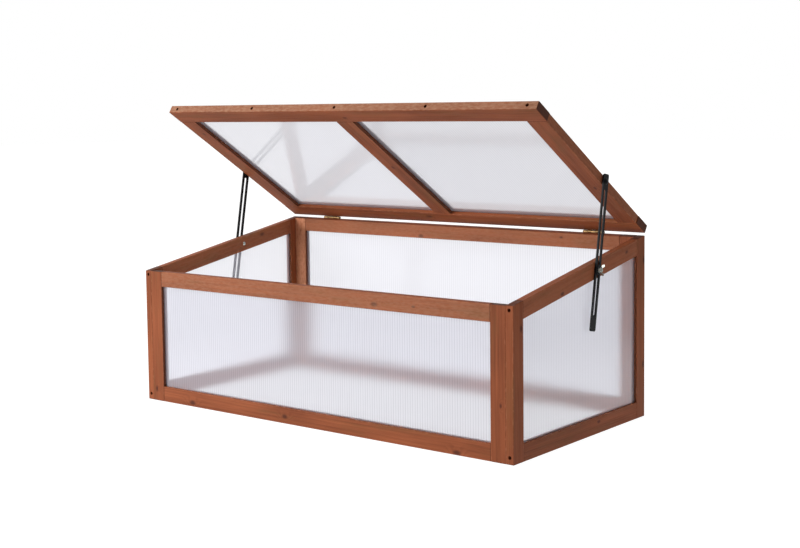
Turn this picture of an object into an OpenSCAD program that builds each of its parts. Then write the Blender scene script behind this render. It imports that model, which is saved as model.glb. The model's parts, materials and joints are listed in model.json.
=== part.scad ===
// Cold frame: a low timber box glazed with twin-wall sheets, with a sloping
// lid that is hinged at the back and propped open by a slotted stay on each side.
// Millimetres. +Z is up, +Y runs from front to back, +X to the right seen from the front.
// The origin lies on the ground, in the middle of the box.

/* [Box] */
// Outside width of the box, along X
box_w = 1000; // [800:10:1400]
// Outside depth of the box, along Y
box_d = 500; // [440:10:700]
// Height of the front face
front_h = 296; // [240:2:330]
// Height of the back face
back_h = 385; // [350:2:480]
// Width of the box rails and stiles
rail_w = 34; // [30:1:44]
// Thickness of the box rails and stiles
board_t = 17; // [15:0.5:22]

/* [Lid] */
// How far the closed lid stops short of the front face
lid_setback = 12; // [4:1:16]
// Width of the lid rails, stiles and centre bar
lid_rail_w = 44; // [34:1:50]
// Thickness of the lid rails, stiles and centre bar
lid_t = 18; // [14:0.5:22]
// Step from the ends of the lid rails in to the lid stiles
lid_step = 1.5; // [0.5:0.5:3]
// Angle of the lid as drawn, measured from closed
open_angle = 42.5; // [0:0.5:70]

/* [Sheets] */
// Thickness of the twin-wall sheets
sheet_t = 4; // [3:0.5:6]
// Distance between neighbouring ribs of a sheet
rib_pitch = 6; // [5:0.5:10]
// Thickness of the skins and ribs of a sheet
skin_t = 0.5; // [0.4:0.1:0.8]
// Depth of the grooves that hold the sheets
groove_d = 7; // [5:0.5:9]
// Height of the lid sheets above the middle of the lid boards
sheet_lift = 1; // [0:0.5:2]

/* [Joints in the timber] */
// Diameter of the dowels
dowel_d = 8; // [6:1:9]
// Length of a dowel in each board of a panel
dowel_grip = 20; // [14:1:24]
// Length of a corner dowel in the side stile
corner_grip = 10; // [6:1:12]
// Distance of the corner dowels from the bottom and from the top
corner_inset = 75; // [60:1:100]
// Diameter of the screws in the board edges
screw_d = 4; // [3:0.5:5]
// Diameter of their heads
screw_head_d = 7; // [6:0.5:8]
// Height of their heads
screw_head_h = 2.6; // [2:0.1:4]
// Depth at which the heads sit below the board edge
screw_sink = 12; // [8:1:16]
// Length of a screw in the end of the joined board
screw_grip = 30; // [20:1:40]
// Height of the lower screws in the side stiles
screw_low = 13.5; // [10:0.5:17]

/* [Hinges] */
// Length of a hinge
hinge_l = 50; // [40:1:70]
// Distance from the end of the box to the middle of a hinge
hinge_inset = 125; // [80:1:200]
// Diameter of the hinge barrel
barrel_d = 6; // [5:0.5:8]
// Diameter of the hinge pin
hinge_pin_d = 3; // [2.5:0.1:3.5]
// Thickness of a hinge leaf
leaf_t = 1.5; // [1:0.1:2]
// Distance from the edge of a leaf to the top of the lid board
leaf_margin = 2.5; // [1:0.5:4]
// Gap between box and lid at the closed hinge
hinge_gap = 3; // [2:0.5:4]
// Diameter of the hinge screws
leaf_screw_d = 3; // [2.5:0.1:3.5]
// Length of the hinge screws
leaf_screw_l = 13; // [8:0.5:14]
// Distance of the hinge screws from the ends of the leaf
leaf_screw_inset = 8; // [6:0.5:12]

/* [Stays] */
// Distance from the hinge axis to the stud, and to the pivot on the lid
stay_reach = 210; // [190:1:225]
// Length of a stay bar
stay_l = 315; // [300:1:340]
// Width of a stay bar
stay_w = 20; // [18:0.5:26]
// Thickness of a stay bar
stay_t = 2.5; // [2:0.1:4]
// Width of its slot
slot_w = 7; // [6.8:0.1:8]
// Length of the plain ends beyond the slot
stay_end = 31; // [24:1:33]
// Distance from the top end of the bar to its pivot
pivot_inset = 15; // [10:0.5:15]
// Radius at the corners of the bar
stay_corner_r = 4; // [2:0.5:8]
// Diameter of the stud and of the pivot screw
stud_d = 6; // [5:0.1:6]
// Length of the pivot screw in the lid stile
pivot_grip = 25; // [16:1:28]
// Gap between the side of the box and a stay bar
stay_gap = 1.2; // [0.8:0.1:3]
// Diameter of the washers
washer_d = 20; // [14:0.5:22]
// Thickness of the washer under the wing nut
washer_t = 1.2; // [0.8:0.1:2]
// Height of the wing nut's hub
nut_h = 6.5; // [6:0.5:10]
// Distance between the tips of the wings
wing_span = 23; // [20:1:32]
// Angle of the wing nuts as drawn, the upper wing leaning to the back
nut_turn = 13; // [0:1:90]

/* [Fits] */
// Radial clearance of pins, screws and dowels in their holes
fit = 0.05; // [0.02:0.01:0.1]
// Clearance between flat faces that slide
slide_gap = 0.2; // [0.1:0.05:0.3]
// Clearance on each side of a sheet in its groove
groove_fit = 0.15; // [0.1:0.05:0.3]
// Clearance at the end of a groove or a blind hole
end_gap = 0.5; // [0.3:0.1:1]
// Gap under the front edge of the closed lid
seat_gap = 0.3; // [0.2:0.1:1]

/* [Hidden] */
$fn = 48;

// Sides of the box: front and back along Y, left and right along X
front = -1;
back = 1;
left = -1;
right = 1;
ends = [left, right];
faces = [front, back];

// Colours
stain = [0.60, 0.34, 0.23];
clear_sheet = [0.90, 0.91, 0.95, 0.55];
beech = [0.80, 0.66, 0.46];
zinc = [0.78, 0.79, 0.80];
brass = [0.78, 0.62, 0.32];
black = [0.06, 0.06, 0.06];

// Slope of the side rails, and the height of the slope at any depth
slope = atan((back_h - front_h) / box_d);
function slope_z(y) = front_h + (y + box_d / 2) * tan(slope);
slope_rail_h = rail_w / cos(slope);

// Panels: the front and back fit between the sides
inner_x = box_w / 2 - board_t;
stile_x = inner_x - rail_w;
side_mid_x = box_w / 2 - board_t / 2;
panel_mid_y = box_d / 2 - board_t / 2;
inner_y = box_d / 2 - rail_w;
function panel_top(face) = slope_z(face * box_d / 2);

// Hinge axis, behind the back face and in the middle of the hinge gap
barrel_r = barrel_d / 2;
hinge_y = box_d / 2 + barrel_r;
hinge_z = back_h + hinge_gap / 2;
hinge_x = box_w / 2 - hinge_inset;
hinge_rise = hinge_gap / 2 * cos(slope) - barrel_r * sin(slope);

// Lid, in its own frame: the hinge axis is the origin and -Y runs to the front edge
lid_l = (box_d - lid_setback) / cos(slope);
lid_floor = hinge_gap / 2;
lid_mid_z = lid_floor + lid_t / 2;
lid_sheet_z = lid_mid_z + sheet_lift;
lid_back = -barrel_r;
lid_front = lid_back - lid_l;
lid_in_back = lid_back - lid_rail_w;
lid_in_front = lid_front + lid_rail_w;
lid_stile_x = box_w / 2 - lid_step;
lid_stile_mid_x = lid_stile_x - lid_rail_w / 2;
closed_tilt = slope + asin((hinge_rise + lid_floor - seat_gap) / (barrel_r + lid_l));
lid_tilt = open_angle - closed_tilt;
function lid_point(y, z) = [
    hinge_y + y * cos(lid_tilt) + z * sin(lid_tilt),
    hinge_z - y * sin(lid_tilt) + z * cos(lid_tilt)
];

// Stays: stud on the middle line of the side rail, pivot on the middle line of the lid
stud_drop = hinge_rise + rail_w / 2;
stud_run = sqrt(stay_reach * stay_reach - stud_drop * stud_drop);
stud_y = hinge_y - stud_run * cos(slope) + stud_drop * sin(slope);
stud_z = hinge_z - stud_run * sin(slope) - stud_drop * cos(slope);
pivot_run = sqrt(stay_reach * stay_reach - lid_mid_z * lid_mid_z);
pivot = lid_point(-pivot_run, lid_mid_z);
stay_lean = atan2(pivot[0] - stud_y, pivot[1] - stud_z);
stay_x = box_w / 2 + stay_gap;
washer_x = stay_x + stay_t + slide_gap;
nut_x = washer_x + washer_t + slide_gap;
stud_tail = 1;
stud_l = nut_x + nut_h + stud_tail - inner_x;

// Grooves and sheets
sheet_over = groove_d - end_gap;
panel_sheet_w = 2 * (stile_x + sheet_over);
sheet_low = rail_w - sheet_over;
side_sheet_y = inner_y + sheet_over;
side_sheet_drop = (rail_w - sheet_over) / cos(slope);
lid_bay_in = lid_rail_w / 2 - sheet_over;
lid_bay_out = lid_stile_x - lid_rail_w + sheet_over;
lid_sheet_l = lid_in_back - lid_in_front + 2 * sheet_over;

// Screws
screw_tip = 4;
tip_r = 0.4;
drive_w = 0.8;
drive_depth = 1.2;
edge_screw_l = rail_w - screw_sink + screw_grip;
lid_screw_l = lid_rail_w - screw_sink + screw_grip;
short_screw_gap = 4;
short_screw_l = lid_rail_w - screw_sink - groove_d - short_screw_gap;
lid_long_x = [-lid_stile_mid_x, 0, lid_stile_mid_x];
lid_short_x = [-lid_stile_mid_x / 2, lid_stile_mid_x / 2];

// Hinge leaf: the knuckles alternate, the outer ones belong to the box
knuckles = 5;
knuckle_pitch = hinge_l / knuckles;
knuckle_gap = 0.3;
leaf_clear = barrel_r + 0.4;
leaf_h = lid_floor + lid_t - leaf_margin;
leaf_screw_z = (leaf_clear + leaf_h) / 2;
leaf_screw_x = hinge_l / 2 - leaf_screw_inset;
pin_head_d = 4.4;
pin_head_h = 1;

// Wing nut, pivot screw and stud
hub_d = 10;
hub_top_d = 8.5;
wing_t = 2;
wing_r = 2.8;
wing_lift = 10;
stud_head_d = 9;
stud_head_h = 2.2;
pivot_head_d = 13;
pivot_head_h = 3.2;
spacer_d = 14;

// Shared shapes

// A block between two opposite corners, given in any order
module block(a, b) {
    low = [for (i = [0:2]) min(a[i], b[i])];
    high = [for (i = [0:2]) max(a[i], b[i])];
    translate(low) cube(high - low);
}

// An outline in Y and Z, drawn out along X between two places
module along_x(xa, xb, outline) {
    translate([min(xa, xb), 0, 0])
        rotate([90, 0, 90])
            linear_extrude(abs(xb - xa)) polygon(outline);
}

// An upright board whose top follows the slope
module sloped_board(xa, xb, ya, yb, z) {
    y0 = min(ya, yb);
    y1 = max(ya, yb);
    along_x(xa, xb, [[y0, z], [y1, z], [y1, slope_z(y1)], [y0, slope_z(y0)]]);
}

// A round bar along X between two places
module bar_x(xa, xb, y, z, d) {
    translate([min(xa, xb), y, z]) rotate([0, 90, 0]) cylinder(d = d, h = abs(xb - xa));
}

// A low dome of a given width and height on the plane z = 0
module dome(d, h) {
    r = (d * d / 4 + h * h) / (2 * h);
    intersection() {
        translate([0, 0, h - r]) sphere(r);
        cylinder(d = d + 1, h = h);
    }
}

// Cross-section of a twin-wall sheet: width along X, thickness along Y, centred
module twin_wall(w) {
    cell_w = rib_pitch - skin_t;
    cell_h = sheet_t - 2 * skin_t;
    cells = floor((w - skin_t) / rib_pitch);
    first = (skin_t - cells * rib_pitch) / 2;
    difference() {
        square([w, sheet_t], center = true);
        for (i = [0:cells - 1])
            translate([first + i * rib_pitch, -cell_h / 2]) square([cell_w, cell_h]);
    }
}

// A wood screw driven along -Z, with the underside of its head on z = 0
module wood_screw(l) {
    difference() {
        cylinder(d = screw_head_d, h = screw_head_h);
        for (a = [0, 90])
            rotate([0, 0, a])
                translate([-screw_d / 2, -drive_w / 2, screw_head_h - drive_depth])
                    cube([screw_d, drive_w, drive_depth + 1]);
    }
    translate([0, 0, screw_tip - l]) cylinder(d = screw_d, h = l - screw_tip);
    translate([0, 0, -l]) cylinder(r1 = tip_r, d2 = screw_d, h = screw_tip);
}

// The stepped hole for such a screw
module screw_hole(l) {
    cylinder(d = screw_head_d + 4 * fit, h = screw_sink + 1);
    translate([0, 0, -l - end_gap]) cylinder(d = screw_d + 2 * fit, h = l + end_gap + 1);
}

// Front and back panels

module panel_pocket(face) {
    high = panel_top(face) - rail_w + groove_d;
    half_w = stile_x + groove_d;
    half_t = sheet_t / 2 + groove_fit;
    block(
        [-half_w, face * panel_mid_y - half_t, rail_w - groove_d],
        [half_w, face * panel_mid_y + half_t, high]
    );
}

// The four rail dowels of a panel, larger and longer where they are holes
module panel_dowels(face, extra_d, extra_l) {
    reach = dowel_grip + extra_l;
    for (end = ends, z = [rail_w / 2, panel_top(face) - rail_w / 2])
        bar_x(end * stile_x - reach, end * stile_x + reach, face * panel_mid_y, z, dowel_d + extra_d);
}

// The two dowels between a panel stile and a side stile
module corner_pair(face, end, extra_d, extra_l) {
    for (z = [corner_inset, panel_top(face) - corner_inset])
        bar_x(
            end * (inner_x - dowel_grip - extra_l), end * (inner_x + corner_grip + extra_l),
            face * panel_mid_y, z, dowel_d + extra_d
        );
}

// An upright board of a panel: the front ones are level on top, the back ones follow the slope
module panel_board(face, xa, xb, z) {
    ya = face * (box_d / 2 - board_t);
    yb = face * box_d / 2;
    if (face == front) block([xa, ya, z], [xb, yb, front_h]);
    else sloped_board(xa, xb, ya, yb, z);
}

module panel_stile(face, end) {
    difference() {
        panel_board(face, end * stile_x, end * inner_x, 0);
        panel_pocket(face);
        panel_dowels(face, 2 * fit, end_gap);
        corner_pair(face, end, 2 * fit, end_gap);
    }
}

module panel_top_rail(face) {
    difference() {
        panel_board(face, -stile_x, stile_x, panel_top(face) - rail_w);
        panel_pocket(face);
        panel_dowels(face, 2 * fit, end_gap);
        if (face == back) box_leaf_screw_holes();
    }
}

module panel_bottom_rail(face) {
    difference() {
        block([-stile_x, face * (box_d / 2 - board_t), 0], [stile_x, face * box_d / 2, rail_w]);
        panel_pocket(face);
        panel_dowels(face, 2 * fit, end_gap);
    }
}

module panel_sheet(face) {
    sheet_h = panel_top(face) - 2 * sheet_low;
    translate([0, face * panel_mid_y, sheet_low]) linear_extrude(sheet_h) twin_wall(panel_sheet_w);
}

// Side panels

// The sheet's four-sided outline in Y and Z, grown by a margin
function side_outline(grow) =
    let (y = side_sheet_y + grow, drop = side_sheet_drop - grow / cos(slope))
    [
        [-y, sheet_low - grow], [y, sheet_low - grow],
        [y, slope_z(y) - drop], [-y, slope_z(-y) - drop]
    ];

module side_pocket(end) {
    half_t = sheet_t / 2 + groove_fit;
    along_x(end * side_mid_x - half_t, end * side_mid_x + half_t, side_outline(end_gap));
}

// Level 0 is the lower screw of a side stile, level 1 the upper one
function edge_screw_z(face, level) =
    level == 0
    ? screw_low
    : slope_z(face * (inner_y - screw_grip / 2)) - slope_rail_h / 2;

module at_edge_screw(face, end, level) {
    translate([end * side_mid_x, face * (box_d / 2 - screw_sink), edge_screw_z(face, level)])
        rotate([-face * 90, 0, 0]) children();
}

module side_stile(end, face) {
    difference() {
        sloped_board(end * inner_x, end * box_w / 2, face * inner_y, face * box_d / 2, 0);
        side_pocket(end);
        corner_pair(face, end, 2 * fit, end_gap);
        for (level = [0, 1]) at_edge_screw(face, end, level) screw_hole(edge_screw_l);
    }
}

module side_top_rail(end) {
    difference() {
        along_x(end * inner_x, end * box_w / 2, [
            [-inner_y, slope_z(-inner_y) - slope_rail_h], [inner_y, slope_z(inner_y) - slope_rail_h],
            [inner_y, slope_z(inner_y)], [-inner_y, slope_z(-inner_y)]
        ]);
        side_pocket(end);
        for (face = faces) at_edge_screw(face, end, 1) screw_hole(edge_screw_l);
        bar_x(end * (inner_x - 1), end * (box_w / 2 + 1), stud_y, stud_z, stud_d + 2 * fit);
    }
}

module side_bottom_rail(end) {
    difference() {
        block([end * inner_x, -inner_y, 0], [end * box_w / 2, inner_y, rail_w]);
        side_pocket(end);
        for (face = faces) at_edge_screw(face, end, 0) screw_hole(edge_screw_l);
    }
}

module side_sheet(end) {
    intersection() {
        translate([end * side_mid_x, 0, 0])
            rotate([0, 0, 90])
                linear_extrude(back_h) twin_wall(2 * side_sheet_y);
        along_x(end * side_mid_x - sheet_t, end * side_mid_x + sheet_t, side_outline(0));
    }
}

module edge_screws(face) {
    for (end = ends, level = [0, 1]) at_edge_screw(face, end, level) wood_screw(edge_screw_l);
}

// Lid

module on_lid() {
    translate([0, hinge_y, hinge_z]) rotate([-lid_tilt, 0, 0]) children();
}

module lid_board(xa, xb, ya, yb) {
    block([xa, ya, lid_floor], [xb, yb, lid_floor + lid_t]);
}

module lid_pocket(end) {
    half_t = sheet_t / 2 + groove_fit;
    block(
        [end * (lid_bay_in - end_gap), lid_in_front - groove_d, lid_sheet_z - half_t],
        [end * (lid_bay_out + end_gap), lid_in_back + groove_d, lid_sheet_z + half_t]
    );
}

// Places of the screws in the front (-1) or back (1) edge of the lid
module at_lid_screws(face, places) {
    y = face == front ? lid_front + screw_sink : lid_back - screw_sink;
    for (x = places) translate([x, y, lid_mid_z]) rotate([-face * 90, 0, 0]) children();
}

module lid_screw_holes(face) {
    at_lid_screws(face, lid_long_x) screw_hole(lid_screw_l);
    at_lid_screws(face, lid_short_x) screw_hole(short_screw_l);
}

module lid_screws(face) {
    on_lid() {
        at_lid_screws(face, lid_long_x) wood_screw(lid_screw_l);
        at_lid_screws(face, lid_short_x) wood_screw(short_screw_l);
    }
}

module lid_rail(face) {
    outer = face == front ? lid_front : lid_back;
    on_lid()
        difference() {
            lid_board(-box_w / 2, box_w / 2, outer, outer - face * lid_rail_w);
            for (end = ends) lid_pocket(end);
            lid_screw_holes(face);
            if (face == back) lid_leaf_screw_holes();
        }
}

module lid_stile(end) {
    on_lid()
        difference() {
            lid_board(
                end * lid_stile_x, end * (lid_stile_x - lid_rail_w), lid_in_front, lid_in_back
            );
            lid_pocket(end);
            for (face = faces) lid_screw_holes(face);
            bar_x(
                end * (lid_stile_x - pivot_grip - end_gap), end * box_w / 2,
                -pivot_run, lid_mid_z, stud_d + 2 * fit
            );
        }
}

module lid_bar() {
    on_lid()
        difference() {
            lid_board(-lid_rail_w / 2, lid_rail_w / 2, lid_in_front, lid_in_back);
            for (end = ends) lid_pocket(end);
            for (face = faces) lid_screw_holes(face);
        }
}

module lid_sheet(end) {
    on_lid()
        translate([end * (lid_bay_in + lid_bay_out) / 2, lid_in_back + sheet_over, lid_sheet_z])
            rotate([90, 0, 0])
                linear_extrude(lid_sheet_l) twin_wall(lid_bay_out - lid_bay_in);
}

// Hinges, drawn round the hinge axis with the wood behind the leaf at -Y

module knuckle(i) {
    translate([-hinge_l / 2 + i * knuckle_pitch + knuckle_gap / 2, 0, 0])
        rotate([0, 90, 0]) cylinder(d = barrel_d, h = knuckle_pitch - knuckle_gap);
}

// A leaf that stands up from the axis, with the knuckles numbered in the list
module leaf(own) {
    difference() {
        union() {
            block([-hinge_l / 2, -barrel_r, leaf_clear], [hinge_l / 2, leaf_t - barrel_r, leaf_h]);
            for (i = own) {
                x = -hinge_l / 2 + i * knuckle_pitch + knuckle_gap / 2;
                block(
                    [x, -barrel_r, 0],
                    [x + knuckle_pitch - knuckle_gap, leaf_t - barrel_r, leaf_clear + 1]
                );
                knuckle(i);
            }
        }
        bar_x(-hinge_l, hinge_l, 0, 0, hinge_pin_d + 2 * fit);
        at_leaf_screws() leaf_screw(2 * fit);
    }
}

module at_leaf_screws() {
    for (end = ends)
        translate([end * leaf_screw_x, leaf_t - barrel_r, leaf_screw_z]) rotate([-90, 0, 0]) children();
}

// A flat-headed screw driven along -Z, its head flush with z = 0
module leaf_screw(extra_d) {
    translate([0, 0, -leaf_t])
        cylinder(d1 = leaf_screw_d + extra_d, d2 = leaf_screw_d + 2 * leaf_t + extra_d, h = leaf_t);
    translate([0, 0, -leaf_screw_l - (extra_d > 0 ? end_gap : 0)])
        cylinder(d = leaf_screw_d + extra_d, h = leaf_screw_l - leaf_t / 2);
}

module driven_leaf_screw() {
    difference() {
        leaf_screw(0);
        for (a = [45, 135])
            rotate([0, 0, a])
                translate([-leaf_screw_d / 2, -drive_w / 2, -leaf_t / 2])
                    cube([leaf_screw_d, drive_w, leaf_t]);
    }
}

// Both hinges of the box side, hanging down from the axis
module on_box_hinges() {
    for (end = ends)
        translate([end * hinge_x, hinge_y, hinge_z]) mirror([0, 0, 1]) children();
}

// Both hinges of the lid side, in the lid's own frame
module on_lid_hinges() {
    for (end = ends) translate([end * hinge_x, 0, 0]) children();
}

module box_leaf_screw_holes() {
    on_box_hinges() at_leaf_screws() leaf_screw(2 * fit);
}

module lid_leaf_screw_holes() {
    on_lid_hinges() at_leaf_screws() leaf_screw(2 * fit);
}

module box_leaf(end) {
    translate([end * hinge_x, hinge_y, hinge_z]) mirror([0, 0, 1]) leaf([0, 2, 4]);
}

module lid_leaf(end) {
    on_lid() translate([end * hinge_x, 0, 0]) leaf([1, 3]);
}

module hinge_pin(end) {
    reach = hinge_l / 2 + slide_gap;
    translate([end * hinge_x, hinge_y, hinge_z]) {
        bar_x(-reach, reach, 0, 0, hinge_pin_d);
        for (side = ends) bar_x(side * reach, side * (reach + pin_head_h), 0, 0, pin_head_d);
    }
}

// Stays, drawn for the right side

// Origin at the stud on the outside of the rail, +Z pointing out along +X
module on_stud(x) {
    translate([x, stud_y, stud_z]) rotate([0, 90, 0]) children();
}

// Origin at the pivot, -Z running down the bar to the stud
module on_pivot(x) {
    translate([x, pivot[0], pivot[1]]) rotate([-stay_lean, 0, 0]) children();
}

module stay_bar_right() {
    r = stay_corner_r;
    top = pivot_inset;
    low = pivot_inset - stay_l;
    half_w = stay_w / 2;
    slot_top = top - stay_end - slot_w / 2;
    slot_low = low + stay_end + slot_w / 2;
    on_pivot(stay_x)
        difference() {
            union() {
                block([0, -half_w, low + r], [stay_t, half_w, top - r]);
                block([0, r - half_w, low], [stay_t, half_w - r, top]);
                for (y = [r - half_w, half_w - r], z = [low + r, top - r])
                    bar_x(0, stay_t, y, z, 2 * r);
            }
            bar_x(-1, stay_t + 1, 0, 0, stud_d + 2 * fit);
            block([-1, -slot_w / 2, slot_low], [stay_t + 1, slot_w / 2, slot_top]);
            for (z = [slot_low, slot_top]) bar_x(-1, stay_t + 1, 0, z, slot_w);
        }
}

module stay_bolt_right() {
    on_stud(inner_x) {
        cylinder(d = stud_d, h = stud_l);
        rotate([180, 0, 0]) dome(stud_head_d, stud_head_h);
    }
}

module washer(l) {
    difference() {
        cylinder(d = washer_d, h = l);
        translate([0, 0, -1]) cylinder(d = stud_d + 2 * fit, h = l + 2);
    }
}

module stay_washers_right() {
    on_stud(box_w / 2) washer(stay_gap - slide_gap);
    on_stud(washer_x) washer(washer_t);
}

// One wing in the plane of X and Y, with Y along the stud
module wing() {
    tip_x = wing_span / 2 - wing_r;
    linear_extrude(wing_t, center = true) {
        polygon([
            [stud_d / 2 + 0.5, 0.8], [hub_d / 2, 0.8], [tip_x + wing_r * 0.8, wing_lift - wing_r * 0.6],
            [tip_x - wing_r * 0.8, wing_lift + wing_r * 0.6], [stud_d / 2 + 0.5, nut_h - 0.5]
        ]);
        translate([tip_x, wing_lift]) circle(wing_r);
    }
}

module wing_nut_right() {
    on_stud(nut_x)
        difference() {
            union() {
                cylinder(d1 = hub_d, d2 = hub_top_d, h = nut_h);
                for (a = [0, 180]) rotate([0, 0, a - nut_turn]) rotate([90, 0, 0]) wing();
            }
            translate([0, 0, -1]) cylinder(d = stud_d + 2 * fit, h = nut_h + 2);
        }
}

module pivot_screw_right() {
    start = lid_stile_x - pivot_grip;
    seat = stay_x + stay_t + slide_gap;
    on_pivot(0) {
        bar_x(start, seat, 0, 0, stud_d);
        translate([seat, 0, 0]) rotate([0, 90, 0]) dome(pivot_head_d, pivot_head_h);
    }
}

module pivot_spacer_right() {
    on_pivot(0)
        difference() {
            bar_x(lid_stile_x, stay_x - slide_gap, 0, 0, spacer_d);
            bar_x(lid_stile_x - 1, stay_x + 1, 0, 0, stud_d + 2 * fit);
        }
}

module on_left() {
    mirror([1, 0, 0]) children();
}

// Sub-parts

module front_left_stile() { color(stain) panel_stile(front, left); }
module front_right_stile() { color(stain) panel_stile(front, right); }
module front_top_rail() { color(stain) panel_top_rail(front); }
module front_bottom_rail() { color(stain) panel_bottom_rail(front); }
module front_sheet() { color(clear_sheet) panel_sheet(front); }

module back_left_stile() { color(stain) panel_stile(back, left); }
module back_right_stile() { color(stain) panel_stile(back, right); }
module back_top_rail() { color(stain) panel_top_rail(back); }
module back_bottom_rail() { color(stain) panel_bottom_rail(back); }
module back_sheet() { color(clear_sheet) panel_sheet(back); }

module left_front_stile() { color(stain) side_stile(left, front); }
module left_back_stile() { color(stain) side_stile(left, back); }
module left_top_rail() { color(stain) side_top_rail(left); }
module left_bottom_rail() { color(stain) side_bottom_rail(left); }
module left_sheet() { color(clear_sheet) side_sheet(left); }

module right_front_stile() { color(stain) side_stile(right, front); }
module right_back_stile() { color(stain) side_stile(right, back); }
module right_top_rail() { color(stain) side_top_rail(right); }
module right_bottom_rail() { color(stain) side_bottom_rail(right); }
module right_sheet() { color(clear_sheet) side_sheet(right); }

module front_dowels() { color(beech) panel_dowels(front, 0, 0); }
module back_dowels() { color(beech) panel_dowels(back, 0, 0); }
module corner_dowels() { color(beech) for (face = faces, end = ends) corner_pair(face, end, 0, 0); }
module front_edge_screws() { color(zinc) edge_screws(front); }
module back_edge_screws() { color(zinc) edge_screws(back); }

module lid_front_rail() { color(stain) lid_rail(front); }
module lid_back_rail() { color(stain) lid_rail(back); }
module lid_left_stile() { color(stain) lid_stile(left); }
module lid_right_stile() { color(stain) lid_stile(right); }
module lid_centre_bar() { color(stain) lid_bar(); }
module lid_left_sheet() { color(clear_sheet) lid_sheet(left); }
module lid_right_sheet() { color(clear_sheet) lid_sheet(right); }
module lid_front_screws() { color(zinc) lid_screws(front); }
module lid_back_screws() { color(zinc) lid_screws(back); }

module left_hinge_box_leaf() { color(brass) box_leaf(left); }
module left_hinge_lid_leaf() { color(brass) lid_leaf(left); }
module left_hinge_pin() { color(brass) hinge_pin(left); }
module right_hinge_box_leaf() { color(brass) box_leaf(right); }
module right_hinge_lid_leaf() { color(brass) lid_leaf(right); }
module right_hinge_pin() { color(brass) hinge_pin(right); }
module hinge_box_screws() { color(brass) on_box_hinges() at_leaf_screws() driven_leaf_screw(); }
module hinge_lid_screws() { color(brass) on_lid() on_lid_hinges() at_leaf_screws() driven_leaf_screw(); }

module left_stay_bar() { color(black) on_left() stay_bar_right(); }
module left_stay_bolt() { color(zinc) on_left() stay_bolt_right(); }
module left_stay_washers() { color(black) on_left() stay_washers_right(); }
module left_wing_nut() { color(zinc) on_left() wing_nut_right(); }
module left_pivot_screw() { color(black) on_left() pivot_screw_right(); }
module left_pivot_spacer() { color(black) on_left() pivot_spacer_right(); }

module right_stay_bar() { color(black) stay_bar_right(); }
module right_stay_bolt() { color(zinc) stay_bolt_right(); }
module right_stay_washers() { color(black) stay_washers_right(); }
module right_wing_nut() { color(zinc) wing_nut_right(); }
module right_pivot_screw() { color(black) pivot_screw_right(); }
module right_pivot_spacer() { color(black) pivot_spacer_right(); }

front_left_stile();
front_right_stile();
front_top_rail();
front_bottom_rail();
front_sheet();
back_left_stile();
back_right_stile();
back_top_rail();
back_bottom_rail();
back_sheet();
left_front_stile();
left_back_stile();
left_top_rail();
left_bottom_rail();
left_sheet();
right_front_stile();
right_back_stile();
right_top_rail();
right_bottom_rail();
right_sheet();
front_dowels();
back_dowels();
corner_dowels();
front_edge_screws();
back_edge_screws();
lid_front_rail();
lid_back_rail();
lid_left_stile();
lid_right_stile();
lid_centre_bar();
lid_left_sheet();
lid_right_sheet();
lid_front_screws();
lid_back_screws();
left_hinge_box_leaf();
left_hinge_lid_leaf();
left_hinge_pin();
right_hinge_box_leaf();
right_hinge_lid_leaf();
right_hinge_pin();
hinge_box_screws();
hinge_lid_screws();
left_stay_bar();
left_stay_bolt();
left_stay_washers();
left_wing_nut();
left_pivot_screw();
left_pivot_spacer();
right_stay_bar();
right_stay_bolt();
right_stay_washers();
right_wing_nut();
right_pivot_screw();
right_pivot_spacer();
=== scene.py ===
"""Looks of the cold frame: stained softwood, twin-wall sheets, black stays, zinc and brass fittings.

Everything is in metres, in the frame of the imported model: +X right, +Y back, +Z up.
"""

import json
import math
import zlib
from itertools import product

import bpy
from mathutils import Euler, Matrix, Vector


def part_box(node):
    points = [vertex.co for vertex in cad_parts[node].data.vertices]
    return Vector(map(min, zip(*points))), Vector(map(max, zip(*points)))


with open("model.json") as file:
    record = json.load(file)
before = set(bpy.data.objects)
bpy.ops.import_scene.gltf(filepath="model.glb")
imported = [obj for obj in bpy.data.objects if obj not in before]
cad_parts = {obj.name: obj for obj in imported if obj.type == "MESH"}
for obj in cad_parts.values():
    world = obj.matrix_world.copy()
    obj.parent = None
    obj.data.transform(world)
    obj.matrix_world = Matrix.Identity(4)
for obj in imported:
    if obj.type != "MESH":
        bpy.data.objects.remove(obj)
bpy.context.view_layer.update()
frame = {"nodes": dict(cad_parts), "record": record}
nodes = frame["nodes"]
scene = bpy.context.scene

# Sizes of the model that the looks follow
box_width = 1.000
box_depth = 0.500
front_height = 0.296
back_height = 0.385
lid_tilt = math.radians(32.16)
lid_pane_middle = 0.23825
sheet_thickness = 0.004
rib_pitch = 0.006

# Rounded edges and their steps, the gap that still joins faces, and the angles of a crease and a flat face
board_edge = 0.0012
nut_edge = 0.0008
edge_steps = 3
same_place = 1e-5
crease_angle = math.radians(40)
flat_angle = math.radians(1)

# Stain: pale early wood, dark late wood, olive patches, knots, end grain, worn edges and faces worn pale;
# the end grain colour also paints shade on edges that face a sheet, and the worn colours also paint light
# and sheen on some faces
stain_pale = (0.290, 0.080, 0.030, 1.0)
stain_dark = (0.152, 0.038, 0.013, 1.0)
stain_olive = (0.160, 0.066, 0.022, 1.0)
stain_knot = (0.050, 0.012, 0.006, 1.0)
stain_end_and_shade = (0.075, 0.022, 0.011, 1.0)
stain_worn_and_lit = (0.460, 0.190, 0.100, 1.0)
stain_rubbed_and_lit = (0.420, 0.235, 0.145, 1.0)

# The length of grain that the boards are cut from
grain_span = 7

# Bare beech, with its darker streaks and its flecks
beech_pale = (0.62, 0.43, 0.25, 1.0)
beech_streak = (0.50, 0.32, 0.17, 1.0)
beech_fleck = (0.32, 0.18, 0.09, 1.0)

# Metal finishes
black_paint = (0.006, 0.006, 0.007, 1.0)
zinc_plate = (0.55, 0.58, 0.53, 1.0)
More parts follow.
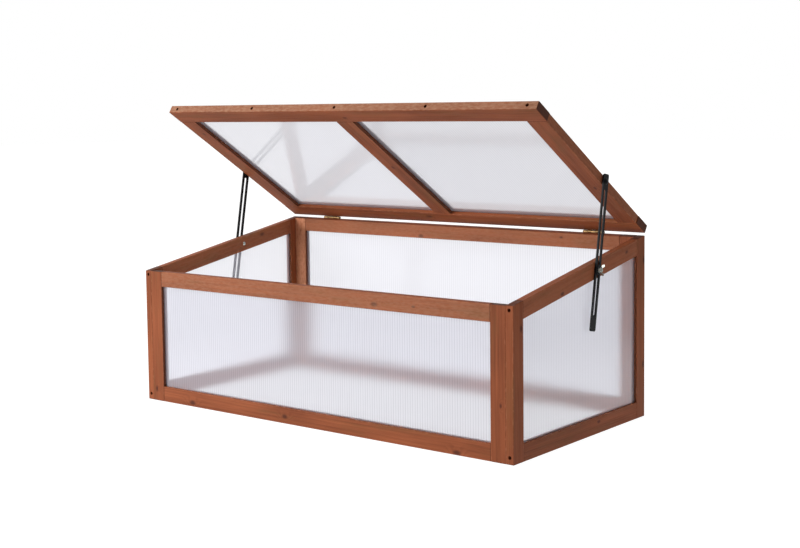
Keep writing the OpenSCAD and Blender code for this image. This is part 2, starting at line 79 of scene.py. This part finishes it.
# The brass is darker than its own colour: painted shade for the gap between lid and box where the hinges
# sit
shade_darkened_brass = (0.24, 0.15, 0.07, 1.0)

# Sheets: the tint of a skin, its haze lit from in front and from behind, its mirror and its clear ribs
sheet_clear = (0.975, 0.976, 0.982, 1.0)
sheet_veil = (0.70, 0.70, 0.80, 1.0)
sheet_glow = (0.88, 0.88, 0.94, 1.0)
sheet_mirror = (0.95, 0.95, 0.96, 1.0)
rib_clear = (0.99, 0.99, 1.0, 1.0)
rib_cloudy = (0.96, 0.96, 0.97, 1.0)

# How far a skin darkens along its ribs, its share of haze, and its gloss seen from ahead and aslant
rib_shade = 0.70
haze_share = 0.13
gloss_ahead = 0.03
gloss_aslant = 0.62

# Floor
white = (1.0, 1.0, 1.0, 1.0)
floor_grey = (0.18, 0.18, 0.18, 1.0)
floor_size = 40.0
floor_drop = 0.0005

# The way that most of the surrounding light comes from, and a soft light
bright_way = (-0.82, 0.42, 0.38)
key_place = (-1.9, -2.5, 1.25)
key_aim = (0.0, 0.0, 0.2)
key_size = 1.6
key_power = 92.0

# The photograph in pixels: its width, its middle row, the row the lens points at and the focal length
photo_width = 800
photo_middle_row = 274
photo_lens_row = 215
photo_focal_length = 1361.6

# The camera's film width in millimetres, its place, and how it turns from looking level to the back
film_width = 36
camera_place = Vector((1.8681, -2.3018, 0.6603))
camera_yaw = math.radians(38.429)
camera_pitch = math.radians(-4.545)
camera_roll = math.radians(0.660)

# Directions of the boards: the lid stands open at rest, and the sides of the box slope to the front
side_slope = math.atan2(back_height - front_height, box_depth)
along_x = Vector((1, 0, 0))
along_y = Vector((0, 1, 0))
along_z = Vector((0, 0, 1))
lid_run = Vector((0, math.cos(lid_tilt), -math.sin(lid_tilt)))
lid_normal = along_x.cross(lid_run)
side_run = Vector((0, math.cos(side_slope), math.sin(side_slope)))
side_rise = along_x.cross(side_run)

# The middles of the box and of the open lid
box_middle = Vector((0, 0, 0.17))
lid_middle = Vector((0, 0.045, 0.53))

# Boards that lie in other ways than those of the front and back
lid_rails = ("lid_front_rail", "lid_back_rail")
lid_stiles = ("lid_left_stile", "lid_right_stile", "lid_centre_bar")
sloped_rails = ("left_top_rail", "right_top_rail")
side_bottom_rails = ("left_bottom_rail", "right_bottom_rail")

# Knots by board: their place along and across it from its middle, and their radius
seen_knots = {
    "front_top_rail": [(0.172, -0.006, 0.0055), (0.270, -0.003, 0.0030)],
    "front_bottom_rail": [(-0.075, -0.002, 0.0050), (0.371, -0.012, 0.0060), (-0.355, -0.008, 0.0060)],
    "front_left_stile": [(-0.121, -0.006, 0.0045)],
    "front_right_stile": [(-0.040, 0.006, 0.0030)],
    "right_front_stile": [(0.100, 0.010, 0.0045)],
    "right_back_stile": [(-0.080, 0.010, 0.0050), (0.141, 0.013, 0.0055)],
    "right_top_rail": [(-0.082, -0.010, 0.0045), (0.175, 0.003, 0.0040)],
    "back_top_rail": [(-0.081, -0.012, 0.0050), (0.305, 0.004, 0.0030)],
    "left_top_rail": [(0.115, 0.007, 0.0050)],
}

# How much darker or, below zero, paler than usual the stain of a board is; the boards inside the box are
# paler as painted light, for the light that falls inside
tones_and_inside_light = {
    "front_top_rail": -0.12,
    "front_bottom_rail": 0.06,
    "front_left_stile": 0.05,
    "front_right_stile": 0.08,
    "right_top_rail": -0.30,
    "right_bottom_rail": 0.24,
    "right_front_stile": 0.0,
    "right_back_stile": -0.05,
    "back_top_rail": -0.25,
    "left_top_rail": -0.25,
    "back_left_stile": -0.40,
    "left_back_stile": -0.25,
}

# Faces made pale, partly worn by rubbing and partly as painted light and sheen: the way they face, how
# much of the stain gives way and the colour that shows
rubbed_and_lit_faces = {
    "lid_front_rail": (-lid_run, 0.42, stain_rubbed_and_lit),
    "front_top_rail": (-along_y, 0.17, stain_rubbed_and_lit),
    "back_top_rail": (-along_y, 0.15, stain_rubbed_and_lit),
    "left_top_rail": (along_x, 0.12, stain_rubbed_and_lit),
    "right_top_rail": (along_x, 0.08, stain_rubbed_and_lit),
    "lid_right_stile": (along_x, 0.24, stain_worn_and_lit),
    # The front face of the back left stile is painted light, for the light that falls inside the box
    "back_left_stile": (-along_y, 0.85, stain_worn_and_lit),
}

# How high a skin swells along its ribs
deep_swell = 0.00008
slight_swell = 0.000015
faint_swell = 0.000008

# Sheets: the way they face, the direction across their ribs, the place of one rib, how high they swell
# along the ribs, how strong the rib lines are and the share of light that each skin lets through
sheets = {
    "front_sheet": (along_y, along_x, rib_pitch / 2, deep_swell, 0.50, 0.975),
    "back_sheet": (along_y, along_x, rib_pitch / 2, slight_swell, 0.32, 0.962),
    "left_sheet": (along_x, along_y, 0.0, slight_swell, 0.12, 0.985),
    "right_sheet": (along_x, along_y, 0.0, deep_swell, 0.40, 0.978),
    "lid_left_sheet": (lid_normal, along_x, -lid_pane_middle, faint_swell, 0.30, 0.967),
    "lid_right_sheet": (lid_normal, along_x, lid_pane_middle, faint_swell, 0.30, 0.90),
}


# Shader nodes


def add(tree, kind, inputs=None, **settings):
    """A new shader node with its settings, and its inputs set to values or linked to outputs."""
    made = tree.nodes.new(kind)
    for name, value in settings.items():
        setattr(made, name, value)
    for key, value in (inputs or {}).items():
        if isinstance(value, bpy.types.NodeSocket):
            tree.links.new(value, made.inputs[key])
        else:
            made.inputs[key].default_value = value
    return made


def math_node(tree, operation, a, b=0.0, c=0.0):
    """The result of a sum on one, two or three values."""
    return add(tree, "ShaderNodeMath", {0: a, 1: b, 2: c}, operation=operation).outputs[0]


def vector_node(tree, operation, a, b=(0.0, 0.0, 0.0)):
    """The vector result of a sum on two vectors."""
    return add(tree, "ShaderNodeVectorMath", {0: a, 1: b}, operation=operation).outputs["Vector"]


def dot_node(tree, a, b):
    """The dot product of two vectors."""
    return add(tree, "ShaderNodeVectorMath", {0: a, 1: b}, operation="DOT_PRODUCT").outputs["Value"]


def length_node(tree, vector):
    """The length of a vector."""
    return add(tree, "ShaderNodeVectorMath", {0: vector}, operation="LENGTH").outputs["Value"]


def range_node(tree, value, low, high, to_low=0.0, to_high=1.0):
    """A value eased from one range to another."""
    made = add(
        tree,
        "ShaderNodeMapRange",
        {"Value": value, "From Min": low, "From Max": high, "To Min": to_low, "To Max": to_high},
        interpolation_type="SMOOTHSTEP",
    )
    return made.outputs["Result"]


def mix_colour(tree, share, a, b):
    """One colour with a share of another mixed in."""
    return add(tree, "ShaderNodeMix", {0: share, 6: a, 7: b}, data_type="RGBA").outputs[2]


def mix_shader(tree, share, a, b):
    """One shader with a share of another mixed in."""
    return add(tree, "ShaderNodeMixShader", {0: share, 1: a.outputs[0], 2: b.outputs[0]})


def noise(tree, vector, scale, detail=2.0, roughness=0.5):
    """Smooth noise from 0 to 1."""
    made = add(
        tree,
        "ShaderNodeTexNoise",
        {"Vector": vector, "Scale": scale, "Detail": detail, "Roughness": roughness},
    )
    return made.outputs[0]


def grain_noise(tree, place, along, across, detail=2.0, roughness=0.5):
    """Smooth noise with so many waves in a metre along the grain, and so many across it."""
    stretched = vector_node(tree, "MULTIPLY", place, (along, across, across))
    return noise(tree, stretched, 1.0, detail, roughness)


def bump_node(tree, height, strength, distance):
    """The normal of a surface that a height from 0 to 1 raises by a distance."""
    made = add(tree, "ShaderNodeBump", {"Height": height, "Strength": strength, "Distance": distance})
    return made.outputs["Normal"]


def object_place(tree):
    """The place of a point on a piece."""
    return add(tree, "ShaderNodeTexCoord").outputs["Object"]


def face_share(tree, way, share):
    """A share on the faces that face one way, and none elsewhere."""
    normal = add(tree, "ShaderNodeTexCoord").outputs["Normal"]
    return range_node(tree, dot_node(tree, normal, way), 0.80, 0.95, to_high=share)


def seen_share(tree):
    """One for rays that see a surface, also through a sheet, and none for rays that gather its light."""
    ray = add(tree, "ShaderNodeLightPath").outputs
    return math_node(tree, "MAXIMUM", ray["Is Camera Ray"], ray["Is Transmission Ray"])


def new_material(name):
    """An empty material and its node tree."""
    material = bpy.data.materials.new(name)
    material.use_nodes = True
    material.node_tree.nodes.clear()
    return material, material.node_tree


def show(tree, shader):
    """Makes a shader the material's surface."""
    add(tree, "ShaderNodeOutputMaterial", {"Surface": shader.outputs[0]})


def scaled(colour, by):
    """A colour with its red, green and blue multiplied."""
    return [by * c for c in colour[:3]] + [1.0]


def seed_of(name, salt):
    """A steady number from 0 to 1 for a name."""
    return zlib.crc32(f"{name} {salt}".encode()) / 0xFFFFFFFF


# Boards


def board_axes(name):
    """Directions along, across and through a board, as the rows of a matrix."""
    if name in lid_stiles:
        along, across = lid_run, along_x
    elif name in lid_rails:
        along, across = along_x, lid_run
    elif name in sloped_rails:
        along, across = side_run, side_rise
    elif name in side_bottom_rails:
        along, across = along_y, along_z
    elif name.startswith(("left_", "right_")):
        along, across = along_z, along_y
    elif name.endswith("stile"):
        along, across = along_z, along_x
    else:
        along, across = along_x, along_z
    return Matrix((along, across, along.cross(across)))


def middle_of(name):
    """The middle of a piece."""
    low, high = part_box(name)
    return (low + high) / 2


def half_size(name, way):
    """Half of a piece's size in one direction."""
    reach = [v.co.dot(way) for v in nodes[name].data.vertices]
    return (max(reach) - min(reach)) / 2


def sheet_sides(name, axes):
    """The directions in which a board faces a sheet, apart from straight up."""
    if name == "lid_centre_bar":
        return [along_x, -along_x]
    middle = lid_middle if name.startswith("lid_") else box_middle
    inward = axes[1] if (middle - middle_of(name)).dot(axes[1]) > 0 else -axes[1]
    return [] if inward.z > 0.5 else [inward]


def board_place(tree, name, axes):
    """The place of a point along, across and through a board, from its middle."""
    turned = add(
        tree,
        "ShaderNodeMapping",
        {
            "Vector": object_place(tree),
            "Location": -(axes @ middle_of(name)),
            "Rotation": axes.to_euler(),
        },
    )
    return turned.outputs["Vector"]


def depth_inside(tree, half, offset):
    """How far inside a surface a point is that lies an offset from the middle."""
    return math_node(tree, "SUBTRACT", half, math_node(tree, "ABSOLUTE", offset))


def own_knots(name):
    """A knot for a board whose own knots the photograph doesn't show."""
    low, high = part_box(name)
    reach_along = 0.45 * max(high - low)
    reach_across = 0.013
    along = (2 * seed_of(name, "along") - 1) * reach_along
    across = (2 * seed_of(name, "across") - 1) * reach_across
    return [(along, across, 0.003 + 0.003 * seed_of(name, "size"))]


def knot_marks(tree, place, knots):
    """How far swirls round the knots bend the growth rings, and how dark the knots are."""
    bend = 0.0
    dark = 0.0
    for along, across, radius in knots:
        offset = vector_node(tree, "SUBTRACT", place, (along, across, 0.0))
        oval = vector_node(tree, "MULTIPLY", offset, (0.55 / radius, 1 / radius, 0.0))
        distance = length_node(tree, oval)
        swirl = range_node(tree, distance, 0.0, 3.2, to_low=0.011, to_high=0.0)
        spot = range_node(tree, distance, 0.30, 1.25, to_low=0.80, to_high=0.0)
        bend = math_node(tree, "ADD", bend, swirl)
        dark = math_node(tree, "MAXIMUM", dark, spot)
    return bend, dark


def growth_rings(tree, name, place, grain_place, bend):
    """The share of late wood, in rings round a heart that lies outside the board."""
    heart = (0.0, 0.03 + 0.06 * seed_of(name, "heart"), 0.025 + 0.05 * seed_of(name, "depth"))
    ring_width = 0.0026 + 0.0022 * seed_of(name, "rings")
    from_heart = vector_node(tree, "ADD", place, heart)
    radius = length_node(tree, vector_node(tree, "MULTIPLY", from_heart, (0.02, 1.0, 1.0)))
    wander = grain_noise(tree, grain_place, along=1.8, across=14.0)
    radius = math_node(tree, "MULTIPLY_ADD", wander, 0.020, radius)
    radius = math_node(tree, "ADD", radius, bend)
    phase = math_node(tree, "FRACT", math_node(tree, "MULTIPLY", radius, 1 / ring_width))
    late_rise = range_node(tree, phase, 0.25, 0.85)
    late_fall = range_node(tree, phase, 0.88, 1.0, to_low=1.0, to_high=0.0)
    return math_node(tree, "MULTIPLY", late_rise, late_fall)


def stain_colour(tree, name, grain_place, late_wood, fibres, pores):
    """The stain, deeper in late wood, fibres and pores, and uneven in streaks and broad patches."""
    streaks = grain_noise(tree, grain_place, along=3.5, across=150.0, roughness=0.6)
    patches = grain_noise(tree, grain_place, along=5.0, across=24.0)
    olive = grain_noise(tree, grain_place, along=7.0, across=40.0, detail=3.0, roughness=0.6)
    shares = (
        (late_wood, 0.20),
        (range_node(tree, fibres, 0.25, 0.75), 0.24),
        (range_node(tree, streaks, 0.3, 0.7), 0.36),
        (range_node(tree, patches, 0.3, 0.7), 0.40),
        (pores, 0.12),
    )
    own_tone = 0.24 * (seed_of(name, "tone") - 0.5)
    # Boards inside the box take paler tones here: painted light for the light that falls inside
    depth = tones_and_inside_light.get(name, own_tone) - 0.10
    for pattern, share in shares:
        depth = math_node(tree, "MULTIPLY_ADD", pattern, share, depth)
    colour = mix_colour(tree, depth, stain_pale, stain_dark)
    return mix_colour(tree, range_node(tree, olive, 0.48, 0.78, to_high=0.55), colour, stain_olive)


def wear_edges(tree, colour, name, axes, place, spots):
    """A colour with chips and rubbing along the long edges of a board."""
    _, across, through = add(tree, "ShaderNodeSeparateXYZ", {0: place}).outputs
    from_side = depth_inside(tree, half_size(name, axes[1]), across)
    from_face = depth_inside(tree, half_size(name, axes[2]), through)
    from_edge = math_node(tree, "MAXIMUM", from_side, from_face)
    near_edge = range_node(tree, from_edge, 0.0004, 0.0026, to_low=1.0, to_high=0.0)
    chips = range_node(tree, spots, 0.46, 0.72, to_high=0.45)
    return mix_colour(tree, math_node(tree, "MULTIPLY", near_edge, chips), colour, stain_worn_and_lit)


def darken_ends(tree, colour, name, axes):
    """A colour with dark end grain, which drinks more stain, and a dark line at each end of a board."""
    normal = add(tree, "ShaderNodeTexCoord").outputs["Normal"]
    facing = math_node(tree, "ABSOLUTE", dot_node(tree, normal, axes[0]))
    colour = mix_colour(tree, range_node(tree, facing, 0.75, 0.95, to_high=0.75), colour, stain_end_and_shade)
    ends = along_y if name in sloped_rails else axes[0]
    place = dot_node(tree, object_place(tree), ends)
    from_middle = math_node(tree, "SUBTRACT", place, ends.dot(middle_of(name)))
    from_end = depth_inside(tree, half_size(name, ends), from_middle)
    line = range_node(tree, from_end, 0.0004, 0.0016, to_low=0.7, to_high=0.0)
    return mix_colour(tree, line, colour, stain_end_and_shade)


def shade_sheet_sides(tree, colour, name, axes):
    """A colour with painted shade on the edges of a board that face a sheet."""
    for inward in sheet_sides(name, axes):
        colour = mix_colour(tree, face_share(tree, inward, 0.72), colour, stain_end_and_shade)
    return colour


def rub_and_light_face(tree, colour, name, spots):
    """A colour with one face made pale, partly as stain worn by rubbing and partly as painted light and
    sheen, on the boards that have such a face.
    """
    if name not in rubbed_and_lit_faces:
        return colour
    way, share, pale_colour = rubbed_and_lit_faces[name]
    uneven = range_node(tree, spots, 0.30, 0.70, to_low=0.5, to_high=1.5)
    paler_share = math_node(tree, "MULTIPLY", face_share(tree, way, share), uneven)
    return mix_colour(tree, paler_share, colour, pale_colour)


def stained_wood(name, knots):
    """Planed softwood with a reddish-brown stain, its grain along the board."""
    material, tree = new_material(f"{name}_wood")
    axes = board_axes(name)
    place = board_place(tree, name, axes)

    # Each board is cut from its own part of the grain
    cut_from = Vector([grain_span * seed_of(name, i) for i in range(3)])
    grain_place = vector_node(tree, "ADD", place, cut_from)

    # Long thin fibres, dark pores and small spots
    fibres = grain_noise(tree, grain_place, along=14.0, across=620.0, detail=3.0, roughness=0.65)
    pores = grain_noise(tree, grain_place, along=55.0, across=1500.0, detail=1.0)
    pores = range_node(tree, pores, 0.60, 0.74)
    spots = grain_noise(tree, grain_place, along=90.0, across=260.0, detail=3.0, roughness=0.6)

    bend, knot_dark = knot_marks(tree, place, knots)
    late_wood = growth_rings(tree, name, place, grain_place, bend)
    colour = stain_colour(tree, name, grain_place, late_wood, fibres, pores)
    colour = mix_colour(tree, knot_dark, colour, stain_knot)
    colour = wear_edges(tree, colour, name, axes, place, spots)
    colour = darken_ends(tree, colour, name, axes)
    colour = shade_sheet_sides(tree, colour, name, axes)
    colour = rub_and_light_face(tree, colour, name, spots)

    height = math_node(tree, "MULTIPLY_ADD", late_wood, 0.5, fibres)
    height = math_node(tree, "SUBTRACT", height, pores)
    surface = add(
        tree,
        "ShaderNodeBsdfPrincipled",
        {
            "Base Color": colour,
            "Roughness": range_node(tree, fibres, 0.2, 0.8, to_low=0.48, to_high=0.64),
            "Normal": bump_node(tree, height, strength=0.22, distance=0.0005),
            "Specular IOR Level": 0.12,
        },
    )
    show(tree, surface)
    return material


# Sheets


def sheet_skin(name, across, rib_at, swell, lines, clarity):
    """The outer faces of a sheet: clear, glossy and a little hazy, and grey and swollen along the ribs."""
    material, tree = new_material(f"{name}_skin")
    from_rib = math_node(tree, "SUBTRACT", dot_node(tree, object_place(tree), across), rib_at)
    turn = math_node(tree, "MULTIPLY", from_rib, 2 * math.pi / rib_pitch)
    at_rib = range_node(tree, math_node(tree, "COSINE", turn), 0.2, 1.0)
    rib_share = math_node(tree, "MULTIPLY", at_rib, lines)

    clear = scaled(sheet_clear, clarity)
    through = add(
        tree,
        "ShaderNodeBsdfRefraction",
        {
            "Color": mix_colour(tree, rib_share, clear, scaled(clear, rib_shade)),
            "Roughness": 0.28,
            "IOR": 1.15,
            "Normal": bump_node(tree, at_rib, strength=1.0, distance=swell),
        },
    )

    # Haze shows the light in front of the sheet where light enters, where there is twice as much of it,
    # and the light behind the sheet where light leaves
    leaving = add(tree, "ShaderNodeNewGeometry").outputs["Backfacing"]
    entering = math_node(tree, "SUBTRACT", 1.0, leaving)
    lit_in_front = mix_colour(tree, rib_share, sheet_veil, scaled(sheet_veil, rib_shade))
    veil = add(tree, "ShaderNodeBsdfDiffuse", {"Color": lit_in_front})
    glow = add(tree, "ShaderNodeBsdfTranslucent", {"Color": sheet_glow})
    haze = mix_shader(tree, leaving, veil, glow)
    haze_here = math_node(tree, "MULTIPLY_ADD", entering, haze_share, haze_share)
    body = mix_shader(tree, haze_here, through, haze)

    # Both skins mirror as one, on the side that light enters
    mirror = add(tree, "ShaderNodeBsdfGlossy", {"Color": sheet_mirror, "Roughness": 0.10})
    slant = add(tree, "ShaderNodeLayerWeight", {"Blend": 0.5}).outputs["Facing"]
    steep_slant = math_node(tree, "POWER", slant, 3.0)
    gloss = math_node(tree, "MULTIPLY_ADD", steep_slant, gloss_aslant, gloss_ahead)
    show(tree, mix_shader(tree, math_node(tree, "MULTIPLY", gloss, entering), body, mirror))
    return material


def sheet_inside():
    """The inner faces of a sheet's skins, which light passes."""
    material, tree = new_material("sheet_inside")
    show(tree, add(tree, "ShaderNodeBsdfTransparent"))
    return material


def sheet_rib():
    """The ribs of a sheet: clear, and here and there a little cloudy."""
    material, tree = new_material("sheet_rib")
    clouds = noise(tree, object_place(tree), 120.0)
    colour = mix_colour(tree, clouds, rib_clear, rib_cloudy)
    show(tree, add(tree, "ShaderNodeBsdfTransparent", {"Color": colour}))
    return material


# Fittings


def metal(name, colour, roughness, metallic, specular, grain_scale, grain_bump):
    """A metal finish with fine uneven gloss."""
    material, tree = new_material(name)
    place = object_place(tree)
    grain = noise(tree, place, grain_scale, detail=3.0, roughness=0.6)
    blotches = range_node(tree, noise(tree, place, grain_scale / 8), 0.35, 0.75)
    darker = scaled(colour, 0.72)
    gloss = range_node(tree, grain, 0.2, 0.8, to_low=0.8 * roughness, to_high=1.3 * roughness)
    surface = add(
        tree,
        "ShaderNodeBsdfPrincipled",
        {
            "Base Color": mix_colour(tree, blotches, colour, darker),
            "Roughness": gloss,
            "Normal": bump_node(tree, grain, grain_bump, distance=0.0002),
            "Metallic": metallic,
            "Specular IOR Level": specular,
        },
    )
    show(tree, surface)
    return material


def bare_beech():
    """Plain beech with short flecks along X, as all the dowels lie."""
    material, tree = new_material("bare_beech")
    place = object_place(tree)
    flecks = grain_noise(tree, place, along=150.0, across=1400.0)
    streaks = grain_noise(tree, place, along=12.0, across=300.0)
    colour = mix_colour(tree, range_node(tree, streaks, 0.3, 0.7), beech_pale, beech_streak)
    colour = mix_colour(tree, range_node(tree, flecks, 0.60, 0.75, to_high=0.6), colour, beech_fleck)
    surface = add(
        tree,
        "ShaderNodeBsdfPrincipled",
        {
            "Base Color": colour,
            "Roughness": 0.6,
            "Normal": bump_node(tree, flecks, strength=0.2, distance=0.0003),
        },
    )
    show(tree, surface)
    return material


# Materials and rounded edges on the pieces


def give(name, *materials):
    """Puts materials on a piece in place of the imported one."""
    slots = nodes[name].data.materials
    slots.clear()
    for material in materials:
        slots.append(material)


def give_sheet(name, normal, *materials):
    """Puts its three materials on a sheet: the outer faces, the inner faces of its skins, and its ribs."""
    give(name, *materials)
    middle = middle_of(name)
    for polygon in nodes[name].data.polygons:
        on_skin = abs(polygon.normal.dot(normal)) > 0.9
        outer = abs((polygon.center - middle).dot(normal)) > 0.48 * sheet_thickness
        if on_skin:
            polygon.material_index = 0 if outer else 1
        else:
            polygon.material_index = 2


def corner_places(mesh, axes):
    """The places of a board's eight corners."""
    found = []
    for signs in product((-1, 1), repeat=3):
        way = axes.transposed() @ Vector(signs)
        found.append(max(mesh.vertices, key=lambda v: v.co.dot(way)).co)
    return found


def add_weld(piece):
    """Joins the faces of a piece where they meet."""
    weld = piece.modifiers.new("weld", "WELD")
    weld.merge_threshold = same_place


def add_bevel(piece, radius):
    """Rounds the edges of a piece, and keeps its other creases sharp."""
    bevel = piece.modifiers.new("edges", "BEVEL")
    bevel.width = radius
    bevel.segments = edge_steps
    creases = piece.modifiers.new("creases", "EDGE_SPLIT")
    creases.split_angle = crease_angle
    piece.modifiers.new("normals", "WEIGHTED_NORMAL")
    return bevel


def ease_board(name, axes):
    """Rounds the long edges of a board, and leaves its holes and grooves sharp."""
    piece = nodes[name]
    mesh = piece.data
    corners = corner_places(mesh, axes)
    at_corner = [any((v.co - c).length < same_place for c in corners) for v in mesh.vertices]
    faces_at = {}
    for polygon in mesh.polygons:
        for key in polygon.edge_keys:
            faces_at[key] = faces_at.get(key, 0) + 1
    weights = mesh.attributes.new("bevel_weight_edge", "FLOAT", "EDGE")
    for edge in mesh.edges:
        outer = all(at_corner[v] for v in edge.vertices) and faces_at[edge.key] == 1
        weights.data[edge.index].value = 1.0 if outer else 0.0
    add_weld(piece)
    bevel = add_bevel(piece, board_edge)
    bevel.limit_method = "WEIGHT"


def ease_nut(name):
    """Rounds the edges of a wing nut, once its flat faces are whole."""
    piece = nodes[name]
    add_weld(piece)
    merge = piece.modifiers.new("flat", "DECIMATE")
    merge.decimate_type = "DISSOLVE"
    merge.angle_limit = flat_angle
    bevel = add_bevel(piece, nut_edge)
    bevel.angle_limit = crease_angle
    bevel.use_clamp_overlap = False


# Surroundings


def floor_glow(tree):
    """How bright the floor is: to the eye, dimmer inside the box as painted shade, and as a light, weaker
    further off.
    """
    place = object_place(tree)
    in_boxes = vector_node(tree, "MULTIPLY", place, (2 / box_width, 2 / box_depth, 0.0))
    reach = vector_node(tree, "ABSOLUTE", in_boxes)
    reach_x, reach_y, _ = add(tree, "ShaderNodeSeparateXYZ", {0: reach}).outputs
    furthest = math_node(tree, "MAXIMUM", reach_x, reach_y)
    # Inside the box the floor is shown dimmer: painted shade for the light that the box keeps off
    to_eye_with_shade = range_node(tree, furthest, 0.95, 0.99, to_low=0.72, to_high=0.95)
    as_light = range_node(tree, length_node(tree, place), 1.0, 1.7, to_low=0.85, to_high=0.25)
    seen = seen_share(tree)
    unseen = math_node(tree, "SUBTRACT", 1.0, seen)
    light = math_node(tree, "MULTIPLY", unseen, as_light)
    return math_node(tree, "MULTIPLY_ADD", seen, to_eye_with_shade, light)


def floor_paint():
    """Grey paint that glows white."""
    material, tree = new_material("floor_paint")
    surface = add(
        tree,
        "ShaderNodeBsdfPrincipled",
        {
            "Base Color": floor_grey,
            "Roughness": 0.95,
            "Emission Color": white,
            "Emission Strength": floor_glow(tree),
        },
    )
    show(tree, surface)
    return material


def white_world():
    """White surroundings, whose light is weaker from the right and the front."""
    world = bpy.data.worlds.new("studio")
    world.use_nodes = True
    tree = world.node_tree
    tree.nodes.clear()
    direction = add(tree, "ShaderNodeTexCoord").outputs["Generated"]
    fill = range_node(tree, dot_node(tree, direction, bright_way), -0.35, 0.55, to_low=0.31)
    strength = math_node(tree, "MAXIMUM", fill, seen_share(tree))
    sky = add(tree, "ShaderNodeBackground", {"Color": white, "Strength": strength})
    add(tree, "ShaderNodeOutputWorld", {"Surface": sky.outputs[0]})
    return world


def soft_light(name, place, aim, size, power):
    """A square soft light that points at a place."""
    lamp = bpy.data.lights.new(name, "AREA")
    lamp.size = size
    lamp.energy = power
    made = bpy.data.objects.new(name, lamp)
    made.location = place
    made.rotation_euler = (Vector(aim) - Vector(place)).to_track_quat("-Z", "Y").to_euler()
    scene.collection.objects.link(made)


def photo_camera():
    """The camera that took the photograph, with its picture moved off the middle of the lens."""
    lens = bpy.data.cameras.new("camera")
    lens.sensor_width = film_width
    lens.lens = photo_focal_length / photo_width * film_width
    lens.shift_y = -(photo_middle_row - photo_lens_row) / photo_width
    camera = bpy.data.objects.new("camera", lens)
    yaw = Euler((0, 0, camera_yaw)).to_matrix()
    pitch = Euler((camera_pitch, 0, 0)).to_matrix()
    roll = Euler((0, camera_roll, 0)).to_matrix()
    level = Euler((math.pi / 2, 0, 0)).to_matrix()
    camera.matrix_world = Matrix.LocRotScale(camera_place, yaw @ pitch @ roll @ level, None)
    scene.collection.objects.link(camera)
    return camera


# Looks of the boards
subparts = frame["record"]["subparts"]
for name in [s["node"] for s in subparts if s["material_slot"] == "stained_wood"]:
    give(name, stained_wood(name, seen_knots.get(name) or own_knots(name)))
    ease_board(name, board_axes(name))

# Looks of the sheets
inside = sheet_inside()
rib = sheet_rib()
for name, (normal, across, rib_at, swell, lines, clarity) in sheets.items():
    skin = sheet_skin(name, across, rib_at, swell, lines, clarity)
    give_sheet(name, normal, skin, inside, rib)

# Looks of the stays, hinges, screws, studs and dowels
finishes = {
    "black_steel": metal(
        "black_paint",
        black_paint,
        roughness=0.40,
        metallic=0.0,
        specular=0.14,
        grain_scale=900.0,
        grain_bump=0.15,
    ),
    "zinc": metal(
        "zinc_plate",
        zinc_plate,
        roughness=0.24,
        metallic=0.85,
        specular=0.5,
        grain_scale=700.0,
        grain_bump=0.15,
    ),
    # The hinges' brass is darkened as painted shade
    "brass": metal(
        "shade_darkened_brass",
        shade_darkened_brass,
        roughness=0.38,
        metallic=1.0,
        specular=0.5,
        grain_scale=700.0,
        grain_bump=0.1,
    ),
    "beech": bare_beech(),
}
for subpart in subparts:
    if subpart["material_slot"] in finishes:
        give(subpart["node"], finishes[subpart["material_slot"]])
for name in ("left_wing_nut", "right_wing_nut"):
    ease_nut(name)

# Floor, surroundings, light and camera
bpy.ops.mesh.primitive_plane_add(size=floor_size, location=(0, 0, -floor_drop))
floor = bpy.context.object
floor.name = "floor"
floor.data.materials.append(floor_paint())
scene.world = white_world()
soft_light("key", key_place, key_aim, key_size, key_power)
scene.camera = photo_camera()
scene.view_settings.view_transform = "Standard"

# Light may cross this many clear faces, so that it gets through every sheet
scene.cycles.transparent_max_bounces = 32
